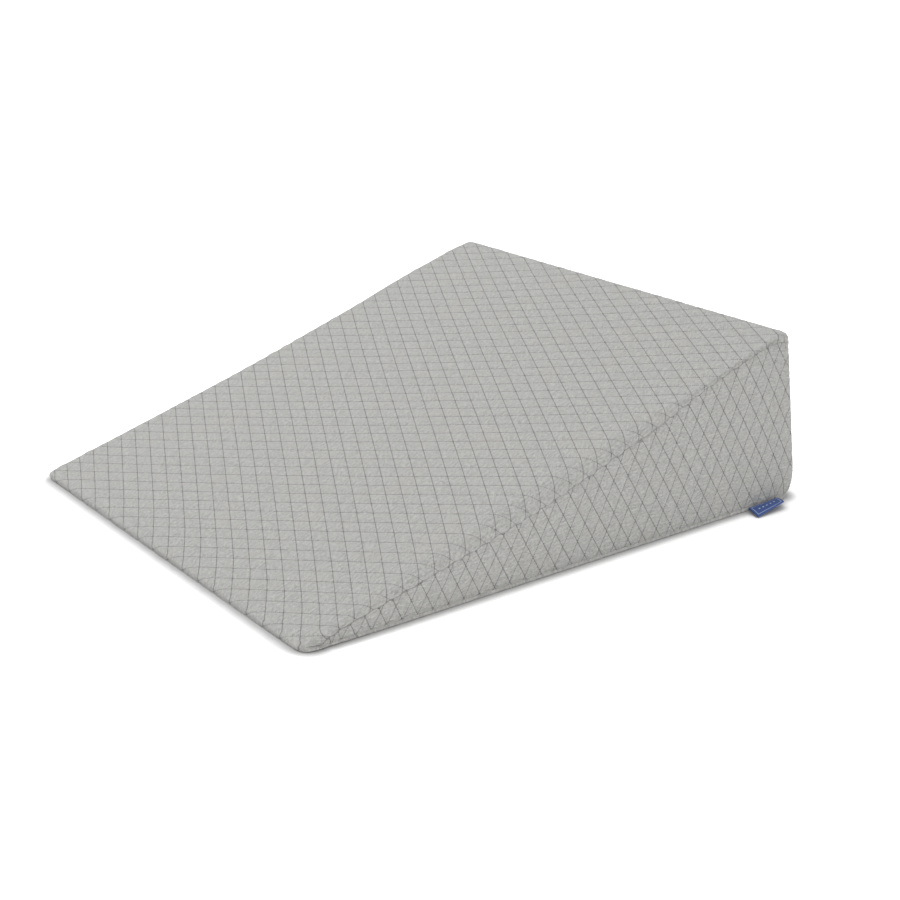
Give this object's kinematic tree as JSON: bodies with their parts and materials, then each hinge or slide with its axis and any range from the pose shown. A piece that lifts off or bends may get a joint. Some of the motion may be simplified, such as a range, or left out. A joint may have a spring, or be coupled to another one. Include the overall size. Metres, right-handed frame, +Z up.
{
  "type": "wedge pillow",
  "caption": "Foam wedge pillow in a light grey diamond-quilted jersey cover, with a slope from a thin front edge to a tall back and a folded woven tab in the bottom seam.",
  "frame": {"origin": "centre of the base, on the surface that the pillow rests on", "axes": "+X from the thin edge to the tall end, +Y across the slope away from the side with the tab, +Z up"},
  "size_m": [0.66, 0.6216, 0.2],
  "materials": {
    "quilted_jersey": "matte heather-grey knitted jersey, quilted in diamonds with dark grey thread",
    "woven_tape": "matte blue woven tape, folded double"
  },
  "bodies": {
    "root": {"cushion": "quilted_jersey", "label": "woven_tape"}
  },
  "joints": []
}
